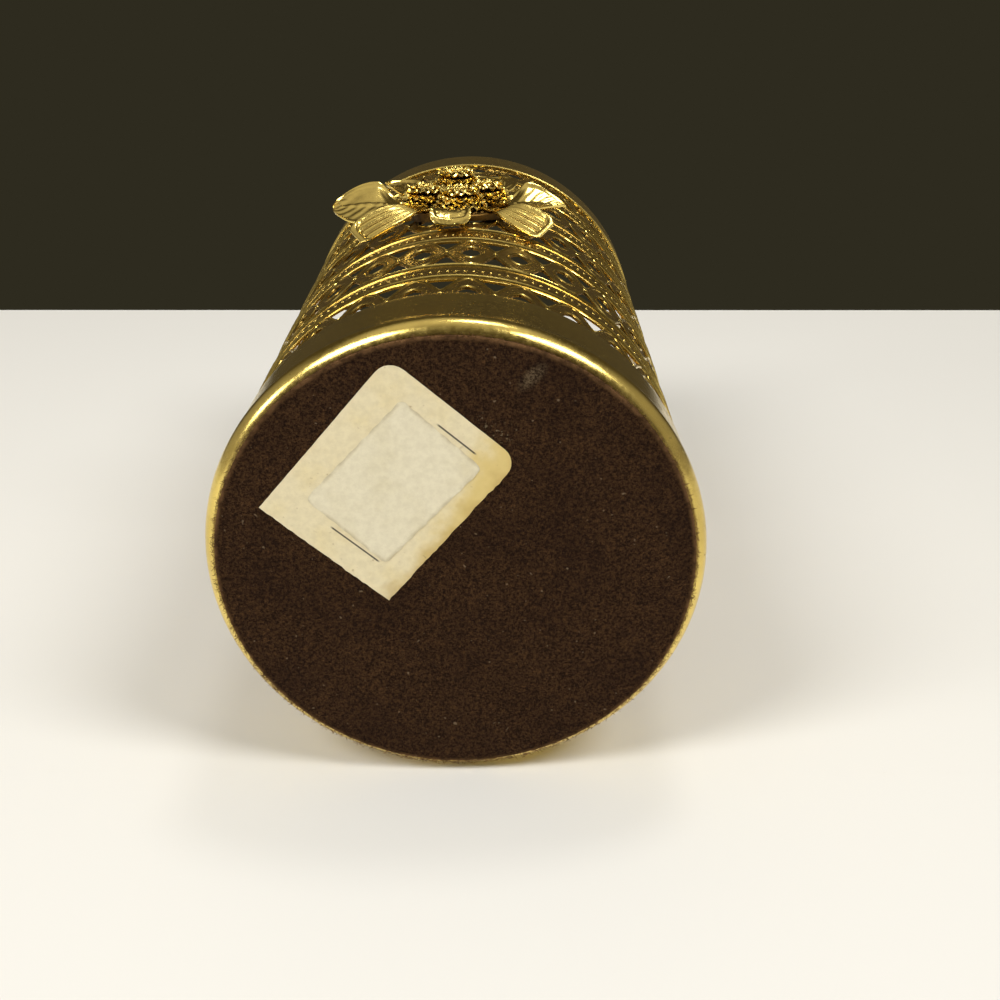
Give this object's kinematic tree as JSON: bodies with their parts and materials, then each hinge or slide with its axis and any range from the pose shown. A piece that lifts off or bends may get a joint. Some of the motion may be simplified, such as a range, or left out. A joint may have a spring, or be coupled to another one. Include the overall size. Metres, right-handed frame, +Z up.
{
  "type": "pen holder cup",
  "caption": "Round gilt-brass pen cup: pierced filigree wall in a plain foot pan with a felt base, a rolled rim at the mouth and a spray of leaves and blossoms on the front.",
  "frame": {"origin": "middle of the felt's underside, where the cup stands on a desk", "axes": "+Z up the cup's axis towards the mouth, -Y to the front with the floral spray, +X to the right of the front"},
  "size_m": [0.07, 0.0759, 0.12],
  "materials": {
    "gilt_brass": "polished gilt, lightly tarnished",
    "felt": "brown felt with a short nap",
    "label_paper": "aged cream paper",
    "sticker_paper": "white paper"
  },
  "bodies": {
    "root": {"base_pan": "gilt_brass", "felt_pad": "felt", "paper_label": "label_paper", "price_sticker": "sticker_paper", "filigree_wall": "gilt_brass", "top_rim": "gilt_brass", "ornament_plate": "gilt_brass", "ornament_rivets": "gilt_brass", "leaf_left": "gilt_brass", "leaf_right": "gilt_brass", "leaf_right_tip": "gilt_brass", "leaf_top_left": "gilt_brass", "leaf_top_right": "gilt_brass", "ribbed_leaf_left": "gilt_brass", "ribbed_leaf_right": "gilt_brass", "tag_petal": "gilt_brass", "blossom_a": "gilt_brass", "blossom_b": "gilt_brass", "blossom_c": "gilt_brass", "blossom_d": "gilt_brass", "blossom_centre_a": "gilt_brass", "blossom_centre_b": "gilt_brass", "blossom_centre_c": "gilt_brass", "blossom_centre_d": "gilt_brass"}
  },
  "joints": []
}
